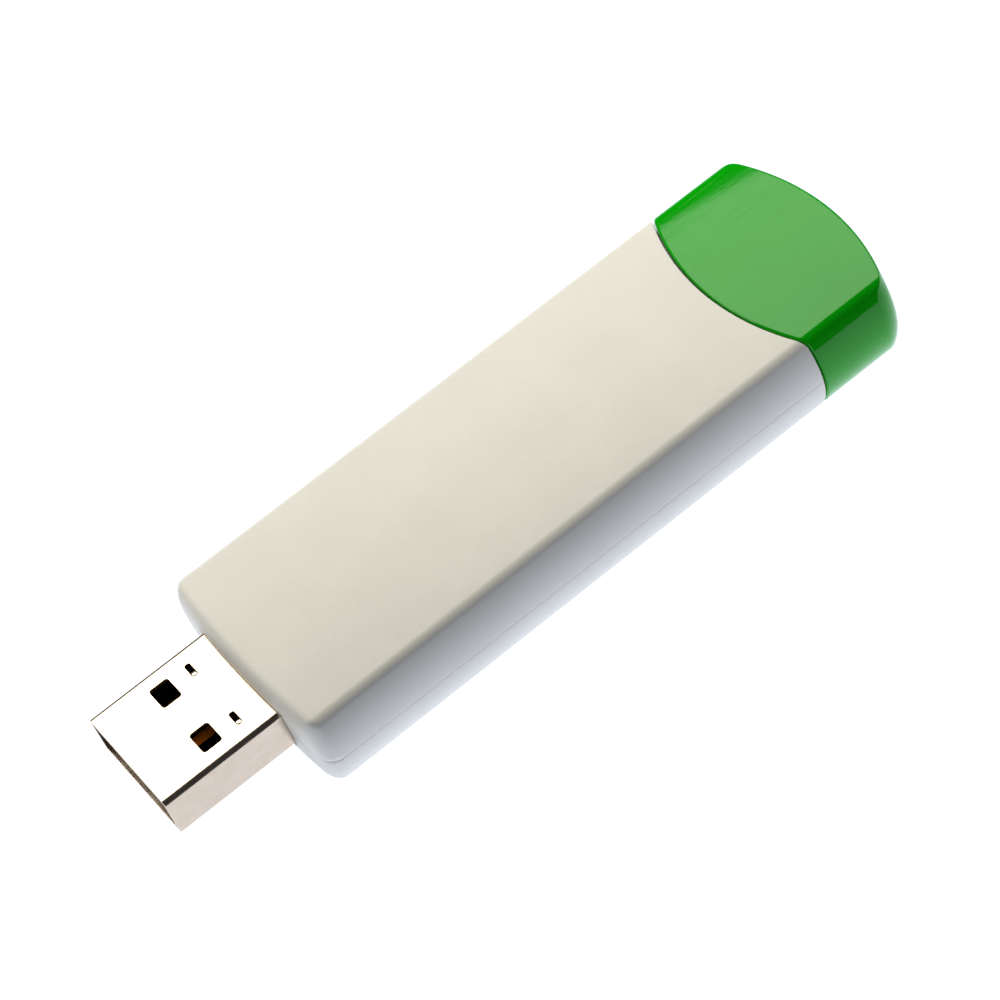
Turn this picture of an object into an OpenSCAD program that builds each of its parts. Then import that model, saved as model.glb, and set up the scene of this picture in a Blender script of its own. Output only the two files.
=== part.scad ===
// Stick-shaped USB programmer for microcontrollers.
// A two-shell case carries a bare USB plug at one end.
// A pull-off cap at the other end covers a six-way pin header.
// Millimetres, +Z up. The origin is under the middle of the whole length, on the face that lies on the bench.

/* [Case] */
// Length from the front face to the rear end of the cap
case_l = 64.3; // [58:0.1:75]
// Width at the parting line, where the sides bulge most
case_w = 23.3; // [22:0.1:26]
// Height between the flat faces
case_h = 8.4; // [8:0.1:11]
// Width of the flat on the top and bottom faces
flat_w = 19.2; // [18.8:0.1:20.6]
// Radius of the long edges
edge_r = 1.2; // [0.5:0.1:1.2]
// Wall thickness of the two shells
wall = 1.2; // [0.9:0.1:1.5]

/* [Ends] */
// Plan radius of the domed rear end
rear_r = 24.2; // [18:0.1:40]
// Plan radius of the rear corners
rear_corner_r = 2.4; // [1:0.1:4]
// How far the rear end wall leans in at its top and bottom
rear_lean = 0.45; // [0:0.05:1]
// Plan radius of the faintly convex front face
front_r = 110; // [60:1:300]
// Plan radius of the front corners
front_corner_r = 1.6; // [0.8:0.1:3]
// Length of the soft bevel along the front face's top and bottom edges
bevel_l = 1.05; // [0.3:0.05:2]
// Height of that bevel
bevel_h = 1.5; // [0.3:0.05:2]

/* [Cap] */
// Front face to the seam, measured on the sides
seam_x = 52.9; // [46:0.1:54]
// How far the cap reaches forward along the middle of the top
seam_bow = 2.4; // [0:0.1:4]
// Gap between the shells and the cap
seam_gap = 0.2; // [0.2:0.05:0.5]
// Wall thickness of the cap
cap_wall = 1.0; // [0.8:0.1:1.2]
// Clearance between the cap and the neck that it slides over
cap_clear = 0.2; // [0.15:0.05:0.4]
// Front face to the end of the neck
neck_x = 57.1; // [56.8:0.1:58]

/* [USB plug] */
// Length of plug outside the case
plug_l = 11.6; // [11.4:0.05:12]
// Width of the plug's metal shell
plug_w = 12.0; // [11.9:0.05:12.1]
// Height of the plug's metal shell
plug_h = 4.5; // [4.4:0.05:4.6]
// Sheet thickness of the plug's metal shell
plug_t = 0.3; // [0.25:0.05:0.35]

/* [Target header] */
// Number of pins
pins = 6; // [3:1:6]
// Pin pitch
pitch = 2.54; // [2:0.54:2.54]
// Side of the square pins
pin_w = 0.64; // [0.5:0.02:0.7]
// Length of pin that stands out for the target's cable
pin_reach = 5.8; // [5:0.1:6]

/* [Circuit board] */
// Width of the board
board_w = 17.6; // [16:0.1:18]
// Thickness of the board
board_t = 0.8; // [0.6:0.1:1]

/* [Hidden] */
CONTACTS = ["vbus", "data_minus", "data_plus", "ground"];

$fn = 48;
eps = 0.01;
far = 30;

half_l = (case_l - plug_l) / 2;
half_h = case_h / 2;
half_w = case_w / 2;
flat_y = flat_w / 2;

// The sides are arcs that meet the long edges' fillets without a corner
belly_r = (pow(edge_r, 2) - pow(flat_y - half_w, 2) - pow(half_h - edge_r, 2))
    / (2 * (flat_y - half_w + edge_r));
belly_y = half_w - belly_r;
inner_r = 0.3;
// How far the plan outline stands off the cross-section and the turned rear end, which shape those faces
plan_ease = 0.05;

// The seam is an arc across the top and straight down the sides
seam_y = 10.65;
seam_r = (pow(seam_y, 2) + pow(seam_bow, 2)) / (2 * seam_bow);
neck_inset = cap_wall + cap_clear;
neck_wall = 0.85;
mouth_wall = 1;
mouth_clear = 0.1;

// Board
board_top = -pin_w / 2;
board_bottom = board_top - board_t;
board_x0 = 2;
board_x1 = 53.9;
board_notch_x = 7.15;
notch_clear = 0.15;

// Posts that join the shells and hold the board
post_x = [11.5, 48];
post_y = 6.9;
post_r = 1.3;
post_pin_r = 0.75;
board_hole_r = 0.95;
boss_r = 1.7;
boss_hole_r = 0.8;
boss_depth = 1.7;

// Lip that registers the shells on each other
lip_t = 0.5;
lip_h = 0.6;
lip_clear = 0.05;

// Plug
plug_corner_r = 0.53;
plug_rear_x = 7;
window_l = 1.9;
window_w = 2.4;
window_x = 6.1 - plug_l;
window_y = 3.1;
notch_l = 0.55;
notch_w = 1.5;
notch_x = 8.95 - plug_l;
notch_y = 3.4;
tongue_x0 = 0.45 - plug_l;
tongue_x1 = 9.2 - plug_l;
contact_t = 0.25;
contact_w = 1.0;
contact_y = [-3.5, -1, 1, 3.5];
contact_x0 = 1.1 - plug_l;
contact_x1 = 9.4;
channel_clear = 0.05;
tongue_top = board_top + contact_t - 0.05;
ear_x = 4.3;
ear_l = 2.2;
ear_reach = 1.6;
leg_l = 1.6;
leg_drop = 1.5;

// Header
header_x = 54;
header_w = 2.54;
pin_tail = 3;
pin_tip = 0.5;

// Chips: lead sheet and foot sizes
lead_t = 0.15;
stand_off = 0.1;

// ---- Outlines ----

// Points of an arc about (x, y), from angle a0 to a1
function arc(x, y, r, a0, a1, n = 6) =
    [for (i = [0:n]) let (a = a0 + (a1 - a0) * i / n) [x + r * cos(a), y + r * sin(a)]];

// The list followed by its own mirror image in the line y = 0, so that the outline closes
function with_mirror(pts) = concat(pts, [for (i = [len(pts) - 1:-1:0]) [pts[i].x, -pts[i].y]]);

// Right half of the cross-section, with the outline pulled in by inset: x is the case's Z, y its Y
function section_half(inset) =
    let (r = max(edge_r - inset, inner_r),
         big = belly_r - inset,
         h = half_h - inset,
         cy = belly_y + sqrt(pow(big - r, 2) - pow(h - r, 2)),
         a = atan2(h - r, cy - belly_y),
         upper = concat(arc(cy, h - r, r, 90, a, 5), arc(belly_y, 0, big, a, 0, 6)))
    concat([for (p = upper) [p.y, p.x]], [for (i = [len(upper) - 2:-1:0]) [-upper[i].y, upper[i].x]]);

// Left half of the plan outline, from the middle of the front face to the middle of the rear end
function plan_half(inset) =
    let (side = half_w - inset + plan_ease,
         rf = front_r - inset,
         cf = max(front_corner_r - inset, inner_r),
         xf = front_r - sqrt(pow(rf - cf, 2) - pow(side - cf, 2)),
         af = atan2(side - cf, xf - front_r),
         rr = rear_r - inset + plan_ease,
         cr = max(rear_corner_r - inset, inner_r),
         x0 = case_l - rear_r,
         xr = x0 + sqrt(pow(rr - cr, 2) - pow(side - cr, 2)),
         ar = atan2(side - cr, xr - x0))
    concat(arc(front_r, 0, rf, 180, af), arc(xf, side - cf, cf, af, 90), arc(xr, side - cr, cr, 90, ar),
           arc(x0, 0, rr, ar, 0, 10));

// Upper half of the side view, bevelled at the front
function side_half(inset) =
    let (h = half_h - inset,
         bl = max(bevel_l - inset, inner_r),
         bh = max(bevel_h - inset, inner_r))
    concat([[inset, 0]],
           [for (i = [0:6]) let (a = 180 - 15 * i) [inset + bl + bl * cos(a), h - bh + bh * sin(a)]],
           [[case_l + 1, h], [case_l + 1, 0]]);

// Outline of the turned form that gives the rear end its lean, as radius and height
function rear_profile(inset) =
    let (h = half_h - inset)
    concat([[0, -h], [0, h]],
           [for (i = [5:-1:-5]) let (z = h * i / 5) [rear_r - inset - rear_lean * pow(z / half_h, 2), z]]);

// ---- Shared solids, in the case's frame: X from the front face, Z from the parting plane ----

// Moves the case's frame to the part's own
module placed() {
    translate([-half_l, 0, half_h]) children();
}

// A flat outline in X and Z, made thick along Y and centred on it
module along_y(width) {
    translate([0, width / 2, 0]) rotate([90, 0, 0]) linear_extrude(width) children();
}

// The outer form of the closed case, pulled in by inset
module form(inset = 0) {
    intersection() {
        translate([-1, 0, 0])
            rotate([0, 90, 0])
                linear_extrude(case_l + 2)
                    polygon(with_mirror(section_half(inset)));
        translate([0, 0, -half_h]) linear_extrude(case_h) polygon(with_mirror(plan_half(inset)));
        along_y(case_w + 2) polygon(with_mirror(side_half(inset)));
        union() {
            translate([case_l - rear_r, 0, 0]) rotate_extrude($fn = 180) polygon(rear_profile(inset));
            block((case_l - rear_r) / 2, 0, -half_h, case_l - rear_r, case_w, case_h);
        }
    }
}

// Everything in front of the seam, moved along X by shift
module ahead_of_seam(shift = 0) {
    a = asin(seam_y / seam_r);
    x0 = seam_x + shift;
    translate([0, 0, -half_h - 1])
        linear_extrude(case_h + 2)
            polygon(concat([[-far, far], [x0, far]],
                           arc(x0 - seam_bow + seam_r, 0, seam_r, 180 - a, 180 + a, 16),
                           [[x0, -far], [-far, -far]]));
}

// Everything in front of a flat plane at x
module ahead_of(x) {
    translate([-far, -far, -far]) cube([x + far, 2 * far, 2 * far]);
}

// A block by its centre in plan and its lower face
module block(x, y, z, l, w, h) {
    translate([x - l / 2, y - w / 2, z]) cube([l, w, h]);
}

// The same piece on both sides of the middle
module both_sides() {
    children();
    mirror([0, 1, 0]) children();
}

// ---- Case ----

// Both shells as one hollow piece, before the parting plane divides it
module case_body() {
    difference() {
        union() {
            intersection() {
                form();
                ahead_of_seam();
            }
            intersection() {
                form(neck_inset);
                ahead_of(neck_x);
            }
        }
        intersection() {
            form(wall);
            ahead_of_seam(-wall);
        }
        intersection() {
            form(neck_inset + neck_wall);
            ahead_of(neck_x - mouth_wall);
        }
        block(neck_x, 0, -header_w / 2 - mouth_clear, 4, pins * pitch + 2 * mouth_clear,
              header_w + 2 * mouth_clear);
        block(0, 0, -plug_h / 2 - mouth_clear, 4, plug_w + 2 * mouth_clear, plug_h + 2 * mouth_clear);
    }
}

// Ribs that hold the plug between floor and ceiling: lower ones, from the floor up to the plug
module plug_ribs() {
    for (x = [2.2, 5.6]) block(x, 0, -half_h + wall - eps, 0.9, 10, half_h - wall - plug_h / 2 + eps);
}

// Snap ribs on the neck, lower than the cap's clearance
module grip_ribs(z) {
    both_sides() block(neck_x - 1.6, 5.2, z, 0.8, 5, 0.12 + eps);
}

module lip(t, h) {
    intersection() {
        difference() {
            form(wall - t);
            form(wall);
        }
        ahead_of_seam(-wall - 0.6);
        block(case_l / 2, 0, -eps, case_l, case_w, h + eps);
    }
}

module front_clearance() {
    block(2, 0, -half_h, 5, plug_w + 1.6, case_h);
}

module bottom_shell() {
    color("#dedacf")
    placed() {
        difference() {
            union() {
                intersection() {
                    case_body();
                    block(case_l / 2, 0, -half_h, case_l + 2, case_w, half_h);
                }
                plug_ribs();
                difference() {
                    lip(lip_t, lip_h);
                    front_clearance();
                }
                for (x = post_x)
                    both_sides()
                        translate([x, post_y, -half_h + wall - eps])
                            cylinder(r = boss_r, h = half_h - wall + board_bottom + eps);
                grip_ribs(-half_h + neck_inset - 0.12);
            }
            for (x = post_x)
                both_sides()
                    translate([x, post_y, board_bottom - boss_depth])
                        cylinder(r = boss_hole_r, h = boss_depth + 1);
        }
    }
}

module top_shell() {
    color("#e4e0d4")
    placed() {
        difference() {
            intersection() {
                case_body();
                block(case_l / 2, 0, 0, case_l + 2, case_w, half_h);
            }
            difference() {
                lip(lip_t + lip_clear, lip_h + lip_clear);
                front_clearance();
            }
        }
        mirror([0, 0, 1]) plug_ribs();
        for (x = post_x)
            both_sides() {
                translate([x, post_y, board_top])
                    cylinder(r = post_r, h = half_h - wall - board_top + eps);
                translate([x, post_y, board_bottom - boss_depth + 0.3])
                    cylinder(r = post_pin_r, h = board_t + boss_depth);
            }
        grip_ribs(half_h - neck_inset - eps);
    }
}

module end_cap() {
    color("#189a10")
    placed() {
        difference() {
            form();
            ahead_of_seam(seam_gap);
            form(cap_wall);
        }
    }
}

// ---- USB plug ----

module plug_outline(inset) {
    r = plug_corner_r - inset;
    w = plug_w / 2 - inset - r;
    h = plug_h / 2 - inset - r;
    square([2 * (h + r), 2 * w], center = true);
    square([2 * h, 2 * (w + r)], center = true);
    for (sx = [-1, 1], sy = [-1, 1]) translate([sx * h, sy * w]) circle(r);
}

module plug_bar(x0, x1, inset) {
    translate([x0, 0, 0]) rotate([0, 90, 0]) linear_extrude(x1 - x0) plug_outline(inset);
}

module plug_ear() {
    y0 = plug_w / 2;
    block(ear_x, y0 + ear_reach / 2 - 0.05, board_top, ear_l, ear_reach + 0.1, plug_t);
    block(ear_x, y0 + ear_reach - plug_t / 2, board_top - leg_drop, leg_l, plug_t, leg_drop + plug_t);
}

module usb_plug_shell() {
    color("#e4e2da")
    placed() {
        difference() {
            plug_bar(-plug_l, plug_rear_x, 0);
            plug_bar(-plug_l - 1, plug_rear_x + 1, plug_t);
            both_sides() {
                block(window_x, window_y, -plug_h, window_l, window_w, 2 * plug_h);
                block(notch_x, notch_y, 0, notch_l, notch_w, plug_h);
            }
        }
        both_sides() plug_ear();
    }
}

module usb_plug_insulator() {
    w = plug_w - 2 * plug_t - 0.04;
    bottom = -plug_h / 2 + plug_t + 0.02;
    color("#17130f")
    placed() {
        difference() {
            union() {
                block((tongue_x0 + tongue_x1) / 2, 0, bottom, tongue_x1 - tongue_x0, w - 0.3,
                      tongue_top - bottom);
                intersection() {
                    plug_bar(tongue_x1 - eps, plug_rear_x, plug_t + 0.02);
                    block(0, 0, -far, 2 * far, w, 2 * far);
                }
            }
            for (y = contact_y)
                translate([contact_x0 - channel_clear, y - contact_w / 2 - channel_clear, board_top])
                    cube([far, contact_w + 2 * channel_clear, contact_t + channel_clear]);
        }
    }
}

module usb_contact(y) {
    color("#d9b25a")
    placed() {
        translate([contact_x0, y - contact_w / 2, board_top])
            cube([contact_x1 - contact_x0, contact_w, contact_t]);
    }
}

// ---- Circuit board ----

module circuit_board() {
    color("#0f5a37")
    placed() {
        difference() {
            block((board_x0 + board_x1) / 2, 0, board_bottom, board_x1 - board_x0, board_w, board_t);
            block((board_x0 + board_notch_x) / 2 - 1, 0, board_bottom - 1, board_notch_x - board_x0 + 2,
                  plug_w + 2 * notch_clear, board_t + 2);
            both_sides()
                block(ear_x, plug_w / 2 + ear_reach - plug_t / 2, board_bottom - 1, leg_l + 0.3, plug_t + 0.3,
                      board_t + 2);
            for (x = post_x)
                both_sides()
                    translate([x, post_y, board_bottom - 1]) cylinder(r = board_hole_r, h = board_t + 2);
        }
    }
}

// A gull-wing lead that leaves a package at the origin along +X: z is the height of its foot's underside
module lead(reach, rise, w) {
    foot = reach * 0.55;
    knee = reach * 0.35;
    along_y(w)
        polygon([[-eps, rise], [knee, rise], [knee + lead_t, 0], [reach, 0], [reach, lead_t],
                 [knee + 2 * lead_t, lead_t], [knee + lead_t, rise + lead_t], [-eps, rise + lead_t]]);
}

// Leads along both long sides of a chip at (x, y): count per side, along X
module lead_rows(x, y, body_w, count, step, reach, rise, w) {
    for (s = [-1, 1], i = [0:count - 1])
        translate([x + (i - (count - 1) / 2) * step, y + s * body_w / 2, board_top])
            rotate([0, 0, s * 90])
                lead(reach, rise, w);
}

// Outline of a chip body, w wide and h high, with its two upper corners cut by c
function chamfered(w, h, c) =
    [[-w / 2, 0], [w / 2, 0], [w / 2, h - c], [w / 2 - c, h], [c - w / 2, h], [-w / 2, h - c]];

// A moulded chip body, its top edges chamfered all round
module chip_body(x, y, l, w, h) {
    c = 0.12;
    translate([x, y, board_top + stand_off])
        intersection() {
            along_y(w) polygon(chamfered(l, h, c));
            translate([-l / 2, 0, 0])
                rotate([90, 0, 90])
                    linear_extrude(l)
                        polygon(chamfered(w, h, c));
        }
}

// A two-ended chip part as one block, lengthwise along X or turned to lie along Y
module passive(x, y, l, w, h, turned = false) {
    if (turned) {
        block(x, y, board_top, w, l, h);
    } else {
        block(x, y, board_top, l, w, h);
    }
}

mcu = [27, -2.2];
mcu_l = 7;

module main_microcontroller() {
    color("#1b1c1e") placed() chip_body(mcu.x, mcu.y, mcu_l, mcu_l, 1.4);
}

module main_microcontroller_leads() {
    color("#c9cbcc")
    placed()
        translate([mcu.x, mcu.y, 0])
            for (a = [0, 90]) rotate([0, 0, a]) lead_rows(0, 0, mcu_l, 12, 0.5, 1, 0.6, 0.22);
}

crystal_at = [27, 5.4];

module crystal_base() {
    color("#6b6257") placed() block(crystal_at.x, crystal_at.y, board_top, 5, 3.2, 0.5);
}

module crystal() {
    color("#d3d4d2")
    placed() {
        block(crystal_at.x, crystal_at.y, board_top + 0.5, 4.7, 2.9, 0.2);
        block(crystal_at.x, crystal_at.y, board_top + 0.7 - eps, 4.2, 2.4, 0.4);
    }
}

regulator_at = [17.4, 3.6];

module voltage_regulator() {
    color("#1b1c1e") placed() chip_body(regulator_at.x, regulator_at.y, 6.5, 3.5, 1.6);
}

module voltage_regulator_leads() {
    color("#c9cbcc")
    placed() {
        translate([regulator_at.x, regulator_at.y + 1.75, board_top]) rotate([0, 0, 90]) lead(1.75, 0.8, 3);
        for (i = [-1:1])
            translate([regulator_at.x + 2.3 * i, regulator_at.y - 1.75, board_top])
                rotate([0, 0, -90])
                    lead(1.75, 0.8, 0.7);
    }
}

shifter_at = [40, -3.4];

module level_shifter() {
    color("#1b1c1e") placed() chip_body(shifter_at.x, shifter_at.y, 8.65, 3.9, 1.5);
}

module level_shifter_leads() {
    color("#c9cbcc") placed() lead_rows(shifter_at.x, shifter_at.y, 3.9, 7, 1.27, 1.05, 0.7, 0.42);
}

memory_at = [37.4, 4.3];

module memory_chip() {
    color("#1b1c1e") placed() chip_body(memory_at.x, memory_at.y, 4.9, 3.9, 1.5);
}

module memory_chip_leads() {
    color("#c9cbcc") placed() lead_rows(memory_at.x, memory_at.y, 3.9, 4, 1.27, 1.05, 0.7, 0.42);
}

surge_at = [12, 0];

module surge_protector() {
    color("#1b1c1e") placed() chip_body(surge_at.x, surge_at.y, 2.9, 1.6, 1.1);
}

module surge_protector_leads() {
    color("#c9cbcc") placed() lead_rows(surge_at.x, surge_at.y, 1.6, 3, 0.95, 0.6, 0.5, 0.35);
}

module resettable_fuse() {
    color("#2f6b3c") placed() passive(11.7, 3.6, 3.2, 1.6, 0.7);
}

module ferrite_bead() {
    color("#4b4a4c") placed() passive(11.7, -3.4, 2, 1.25, 0.9);
}

module tantalum_capacitor() {
    color("#d08a1e") placed() passive(17, -4.6, 3.5, 2.8, 1.9);
}

module ceramic_capacitors() {
    color("#b79a74")
    placed() {
        for (at = [[14.8, -1.4], [20.4, -1.4], [33.2, 2.6], [33.2, -6]])
            passive(at.x, at.y, 1.6, 0.8, 0.8, true);
        for (at = [[22.6, 4.4], [22.6, 6.6], [34, 5.4], [41.8, 2.6]]) passive(at.x, at.y, 1.6, 0.8, 0.8);
    }
}

module resistors() {
    color("#26282c")
    placed() {
        for (i = [0:pins - 1]) passive(49.2, (i - (pins - 1) / 2) * 1.6, 1.6, 0.8, 0.45);
        for (x = [30.6, 32.2]) passive(x, 5.4, 1.6, 0.8, 0.45, true);
        for (y = [-0.9, -2.4]) passive(17, y, 1.6, 0.8, 0.45);
    }
}

module led(y, tint) {
    color(tint) placed() passive(45.2, y, 1.6, 0.8, 0.6);
}

// ---- Target header ----

module header_body() {
    color("#16171a")
    placed() {
        c = 0.3;
        difference() {
            for (i = [0:pins - 1])
                translate([header_x, (i - (pins - 1) / 2) * pitch, 0])
                    rotate([0, 90, 0])
                        linear_extrude(header_w)
                            polygon([[header_w / 2, -pitch / 2 + c], [header_w / 2, pitch / 2 - c],
                                     [header_w / 2 - c, pitch / 2], [c - header_w / 2, pitch / 2],
                                     [-header_w / 2, pitch / 2 - c], [-header_w / 2, c - pitch / 2],
                                     [c - header_w / 2, -pitch / 2], [header_w / 2 - c, -pitch / 2]]);
            for (i = [0:pins - 1])
                block(header_x + header_w / 2, (i - (pins - 1) / 2) * pitch, -pin_w / 2, header_w + 2, pin_w,
                      pin_w);
        }
    }
}

module header_pin(i) {
    l = pin_tail + header_w + pin_reach;
    h = pin_w / 2;
    t = h * 0.5;
    color("#d9b25a")
    placed()
        translate([header_x - pin_tail, (i - (pins + 1) / 2) * pitch, 0])
            intersection_for (a = [0, 90])
                rotate([a, 0, 0])
                    along_y(2)
                        polygon([[0, -h], [l - pin_tip, -h], [l, -t], [l, t], [l - pin_tip, h], [0, h]]);
}

// ---- The part ----

bottom_shell();
top_shell();
end_cap();
usb_plug_shell();
usb_plug_insulator();
for (i = [0:3]) usb_contact(contact_y[i]);
circuit_board();
main_microcontroller();
main_microcontroller_leads();
crystal();
crystal_base();
voltage_regulator();
voltage_regulator_leads();
level_shifter();
level_shifter_leads();
memory_chip();
memory_chip_leads();
surge_protector();
surge_protector_leads();
resettable_fuse();
ferrite_bead();
tantalum_capacitor();
ceramic_capacitors();
resistors();
led(2.6, "#3fd04a");  // power_led
led(4.8, "#e05a3a");  // activity_led
header_body();
for (i = [1:pins]) header_pin(i);
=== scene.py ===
"""Looks of a stick-shaped USB programmer: two white shells, a green pull-off cap and a bare USB plug.

Shapes are worked out in the case's own millimetres: X from the front face, Z from the parting plane. Each
finished mesh is then put in its place in the frame, in metres.
"""

import logging
import math
from dataclasses import dataclass, field
from enum import Enum
from typing import Any, Callable, Iterable, Sequence

import bmesh
import bpy
from mathutils import Matrix, Vector


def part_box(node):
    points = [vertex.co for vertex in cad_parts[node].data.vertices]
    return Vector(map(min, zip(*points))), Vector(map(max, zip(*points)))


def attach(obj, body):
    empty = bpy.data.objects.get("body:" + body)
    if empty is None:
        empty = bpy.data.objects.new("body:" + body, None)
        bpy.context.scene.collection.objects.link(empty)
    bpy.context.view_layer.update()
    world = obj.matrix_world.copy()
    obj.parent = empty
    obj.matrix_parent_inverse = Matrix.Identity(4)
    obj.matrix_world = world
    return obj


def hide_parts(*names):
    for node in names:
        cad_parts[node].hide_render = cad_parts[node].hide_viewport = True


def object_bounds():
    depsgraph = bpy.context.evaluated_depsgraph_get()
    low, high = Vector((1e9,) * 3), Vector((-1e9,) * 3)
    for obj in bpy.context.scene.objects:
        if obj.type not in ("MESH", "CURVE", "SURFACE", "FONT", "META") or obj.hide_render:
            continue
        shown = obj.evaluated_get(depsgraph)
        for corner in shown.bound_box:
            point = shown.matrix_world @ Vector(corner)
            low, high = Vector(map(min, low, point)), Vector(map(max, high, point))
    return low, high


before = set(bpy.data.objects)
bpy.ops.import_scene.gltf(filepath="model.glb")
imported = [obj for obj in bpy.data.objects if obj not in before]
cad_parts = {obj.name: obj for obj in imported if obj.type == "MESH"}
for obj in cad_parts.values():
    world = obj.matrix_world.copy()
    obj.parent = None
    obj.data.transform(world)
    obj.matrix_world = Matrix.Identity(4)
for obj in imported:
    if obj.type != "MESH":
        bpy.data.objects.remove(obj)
CAD_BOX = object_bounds()

LOG = logging.getLogger("usb_programmer")
MM = 0.001
# In millimetres: points nearer than WELD are made one, and places nearer than NEAR count as the same
WELD = 0.0005
NEAR = 0.01
Ring = list[Vector]
Colour = tuple[float, float, float, float]
Skin = bmesh.types.BMesh
Socket = bpy.types.NodeSocket
Tree = bpy.types.NodeTree
Piece = bpy.types.Object
# Y, Z and how far the surface faces sideways, for each point from the side to the middle
HalfArch = Sequence[tuple[float, float, float]]


class Body(Enum):
    """The two bodies that move against each other."""

    CASE = "case"
    CAP = "cap"


# ---- Nodes and colours ----


def linear(hex_colour: str) -> Colour:
    """Turns an sRGB hex colour to linear.

    Args:
        hex_colour: six hex digits after a hash sign.

    Returns:
        Red, green, blue and an alpha of 1.
    """
    channels = [int(hex_colour[i : i + 2], 16) / 255 for i in (1, 3, 5)]
    red, green, blue = (c / 12.92 if c <= 0.04045 else ((c + 0.055) / 1.055) ** 2.4 for c in channels)
    return red, green, blue, 1.0


def add_node(tree: Tree, kind: str, inputs: dict | None = None, **settings: Any) -> Any:
    """Adds a node with its settings and links.

    Args:
        tree: the node tree that it joins.
        kind: the node's type name.
        inputs: a value, or an output socket to link, for each input by name or number.
        settings: the node's own properties.

    Returns:
        The new node.
    """
    node = tree.nodes.new(kind)
    for name, value in settings.items():
        setattr(node, name, value)
    for socket, value in (inputs or {}).items():
        if isinstance(value, Socket):
            tree.links.new(value, node.inputs[socket])
        else:
            node.inputs[socket].default_value = value
    return node


def per_mm(size: float) -> float:
    """Texture scale, in cycles a metre, whose features measure size millimetres."""
    return 1 / (size * MM)


# ---- Finishes ----


@dataclass(frozen=True)
class Finish:
    """A material by the name of its real one, and the slot of the record that it fills."""

    name: str
    slot: str

    def material(self) -> bpy.types.Material:
        """Returns the finish's material, made the first time that it is asked for."""
        found = bpy.data.materials.get(self.name)
        if found:
            return found
        made = bpy.data.materials.new(self.name)
        made.use_nodes = True
        made.node_tree.nodes.clear()
        shader = self.shade(made.node_tree)
        add_node(made.node_tree, "ShaderNodeOutputMaterial", {"Surface": shader.outputs[0]})
        return made

    def shade(self, tree: Tree) -> bpy.types.Node:
        """Adds the finish's nodes.

        Args:
            tree: the material's node tree.

        Returns:
            The shader node.
        """
        raise NotImplementedError

    def dress(self, piece: Piece) -> None:
        """Puts the finish on a piece, in place of what it has."""
        if piece.material_slots:
            for entry in piece.material_slots:
                entry.material = self.material()
        else:
            piece.data.materials.append(self.material())


@dataclass(frozen=True)
class DriftingFinish(Finish):
    """A finish whose colour and gloss drift together with one pattern."""

    colour: str = "#d0d0d0"
    second_colour: str = "#c0c0c0"
    roughness: float = 0.4
    roughness_spread: float = 0.08

    def drift(self, tree: Tree, coarse: Socket, fine: Socket) -> tuple[Socket, Socket]:
        """Adds the drift.

        Args:
            tree: the material's node tree.
            coarse: the pattern's large features.
            fine: its small ones.

        Returns:
            The colour and the roughness.
        """
        blend = add_node(tree, "ShaderNodeMath", {0: coarse, 1: fine}, operation="ADD")
        span = {"Value": blend.outputs[0], "From Min": 0.7, "From Max": 1.3}
        weight = add_node(tree, "ShaderNodeMapRange", span)
        ends = {6: linear(self.colour), 7: linear(self.second_colour)}
        colour = add_node(tree, "ShaderNodeMix", {0: weight.outputs[0], **ends}, data_type="RGBA")
        limits = {
            "To Min": self.roughness - self.roughness_spread,
            "To Max": self.roughness + self.roughness_spread,
        }
        gloss = add_node(tree, "ShaderNodeMapRange", {**span, **limits})
        return colour.outputs[2], gloss.outputs[0]


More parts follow.
